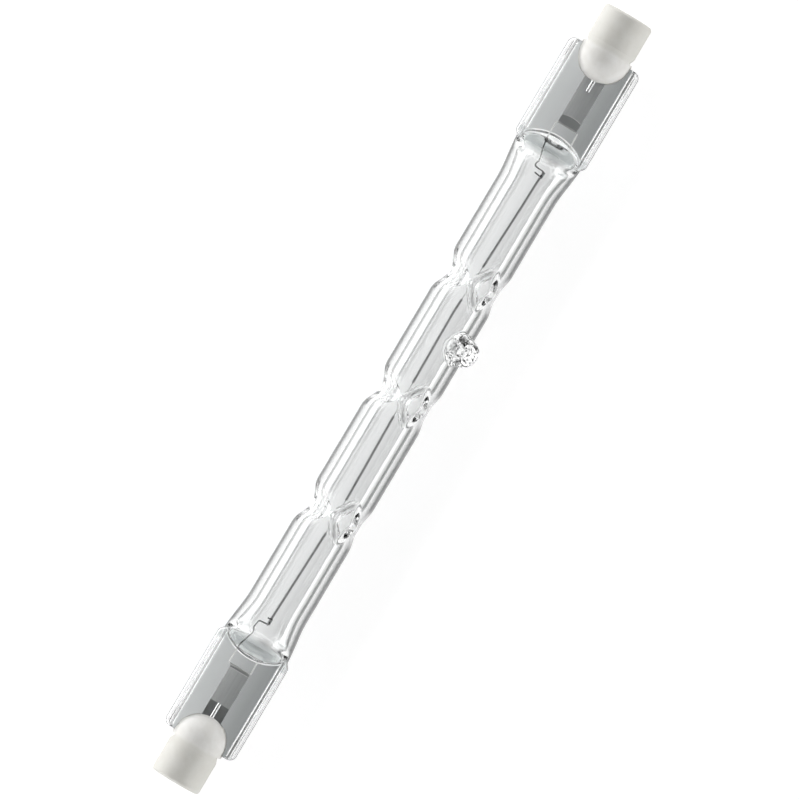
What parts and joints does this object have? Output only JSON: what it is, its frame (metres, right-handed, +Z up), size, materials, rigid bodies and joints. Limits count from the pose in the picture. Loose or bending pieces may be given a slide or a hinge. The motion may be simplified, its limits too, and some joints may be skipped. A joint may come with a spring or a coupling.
{
  "type": "linear halogen bulb",
  "caption": "Linear double-ended halogen bulb: dimpled clear quartz tube with flat pinched ends, a long thin coiled filament and white ceramic bases with recessed contacts.",
  "frame": {"origin": "on the lamp's own axis at mid-length, which is the centroid of the lamp to within a few hundredths of a millimetre", "axes": "+X along the lamp's axis towards the end nearer the exhaust tip (the upper end in the picture); +Z up as the lamp lies on a table on its tube, with its flat webs nearly level (they lean 6.5 degrees about X, towards -Y); -Y towards the exhaust tip, which points up and out to that side"},
  "size_m": [0.1176, 0.0117, 0.0093],
  "materials": {
    "quartz_glass": "clear fused quartz, fire polished",
    "tungsten": "fine drawn tungsten wire, wound in a coil",
    "lead_wire": "drawn wire",
    "foil": "thin rolled foil seen through the glass",
    "ceramic": "unglazed white steatite, smooth pressed",
    "contact_metal": "plain nickel-coloured rivet",
    "cement": "matt off-white cement"
  },
  "bodies": {
    "root": {"glass_envelope": "quartz_glass", "filament": "tungsten", "left_inner_lead": "lead_wire", "left_foil": "foil", "left_outer_lead": "lead_wire", "left_ceramic_base": "ceramic", "left_contact": "contact_metal", "left_cement": "cement", "right_inner_lead": "lead_wire", "right_foil": "foil", "right_outer_lead": "lead_wire", "right_ceramic_base": "ceramic", "right_contact": "contact_metal", "right_cement": "cement"}
  },
  "joints": []
}
